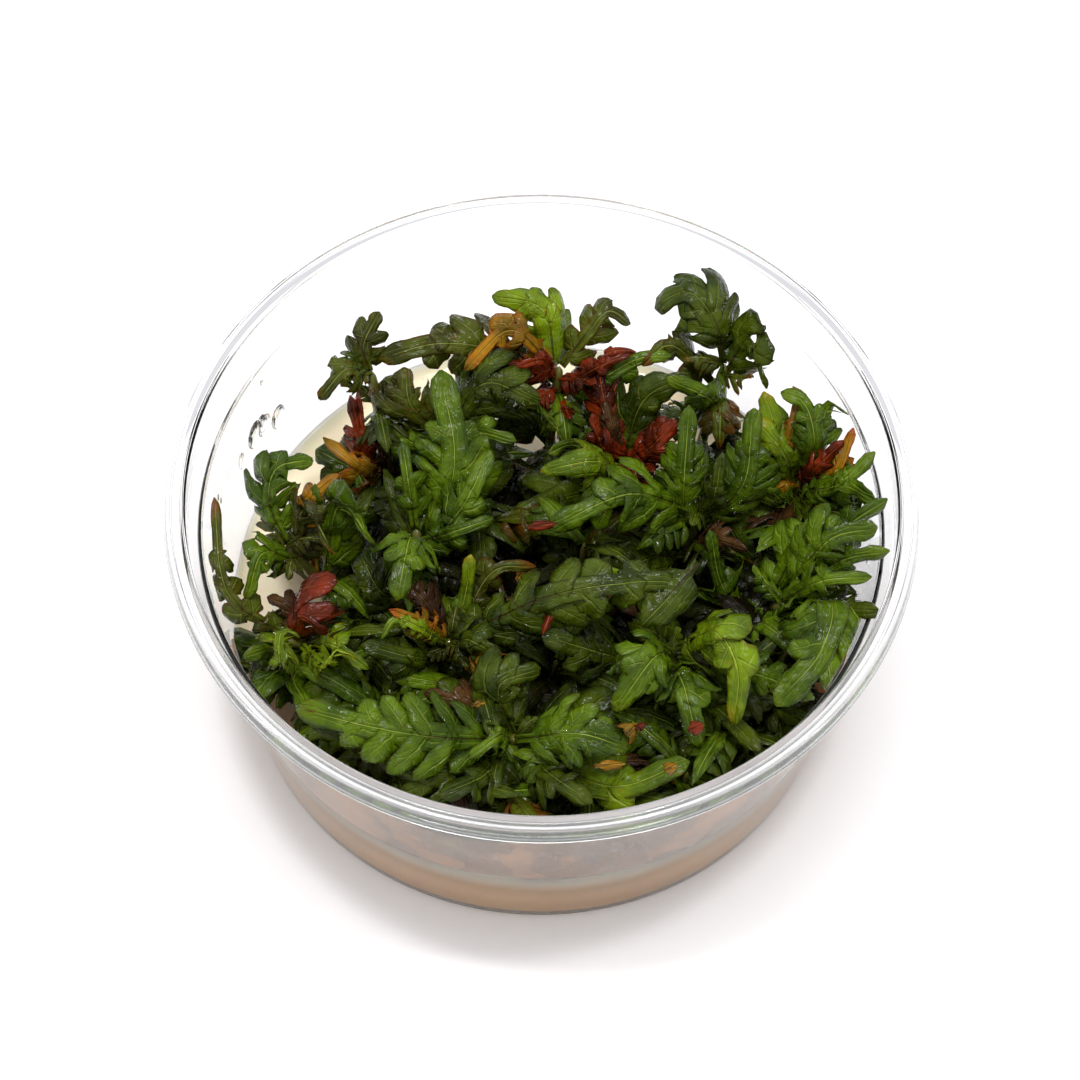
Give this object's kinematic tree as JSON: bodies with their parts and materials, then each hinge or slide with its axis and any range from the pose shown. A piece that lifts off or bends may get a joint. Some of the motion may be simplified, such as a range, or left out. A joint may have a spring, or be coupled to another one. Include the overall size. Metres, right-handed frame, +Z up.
{
  "type": "cup of tissue-culture aquarium plant",
  "caption": "Dense tuft of lobed, wet green and rust-red aquarium plant leaves rooted in beige gel in an open clear round cup.",
  "frame": {"origin": "middle of the cup's base, on the surface that it stands on", "axes": "+Z up along the cup's axis, and -Y towards the viewer of the picture"},
  "size_m": [0.1, 0.1, 0.0453],
  "materials": {
    "clear_plastic": "clear, thin, moulded, with a wet film inside",
    "gel": "cloudy beige jelly with a wet top",
    "stem": "brown-red to olive stems, slightly glossy",
    "leaf_green": "wet mid-green leaf with pale veins",
    "leaf_deep": "wet dark green leaf with a brown midrib",
    "leaf_lime": "wet yellow-green leaf",
    "leaf_olive": "wet olive leaf with rust-brown parts",
    "leaf_rust": "wet rust-red leaf"
  },
  "bodies": {
    "root": {"cup": "clear_plastic", "gel": "gel", "leaf_arch_left": "leaf_olive", "leaf_back_left_up": "leaf_olive", "leaf_back_lime": "leaf_lime", "leaf_back_right_arch": "leaf_deep", "leaf_back_right_green": "leaf_green", "leaf_back_right_side": "leaf_deep", "leaf_back_strap": "leaf_olive", "leaf_centre_dark": "leaf_deep", "leaf_centre_left_low": "leaf_deep", "leaf_centre_long": "leaf_deep", "leaf_centre_right": "leaf_green", "leaf_front_bright": "leaf_green", "leaf_front_inner": "leaf_deep", "leaf_front_left_long": "leaf_green", "leaf_front_low_left": "leaf_deep", "leaf_front_low_right": "leaf_lime", "leaf_front_right_arch": "leaf_lime", "leaf_front_right_bow": "leaf_green", "leaf_front_right_low": "leaf_lime", "leaf_front_right_wet": "leaf_green", "leaf_left_arch": "leaf_green", "leaf_left_broad": "leaf_green", "leaf_left_hanging": "leaf_green", "leaf_left_low": "leaf_green", "leaf_left_red": "leaf_rust", "leaf_left_wall": "leaf_olive", "leaf_mid_back_olive": "leaf_olive", "leaf_mid_back_wet": "leaf_deep", "leaf_mid_left_down": "leaf_green", "leaf_mid_left_right": "leaf_green", "leaf_olive_toothed": "leaf_lime", "leaf_red_broad": "leaf_deep", "leaf_red_right": "leaf_rust", "leaf_right_back": "leaf_green", "leaf_right_edge": "leaf_green", "leaf_right_fold": "leaf_green", "leaf_right_inner": "leaf_green", "leaf_right_lobed": "leaf_green", "leaf_right_low": "leaf_green", "leaf_right_straps": "leaf_lime", "leaf_right_top": "leaf_green", "leaf_upright_left": "leaf_green", "leaf_upright_right_a": "leaf_green", "leaf_upright_right_b": "leaf_green", "stem_back": "stem", "stem_back_left": "stem", "stem_back_right": "stem", "stem_centre": "stem", "stem_front": "stem", "stem_front_right": "stem", "stem_left": "stem", "stem_left_front": "stem", "stem_mid_back": "stem", "stem_mid_left": "stem", "stem_mid_right": "stem", "stem_red": "stem", "stem_right": "stem", "stem_right_front": "stem"}
  },
  "joints": []
}
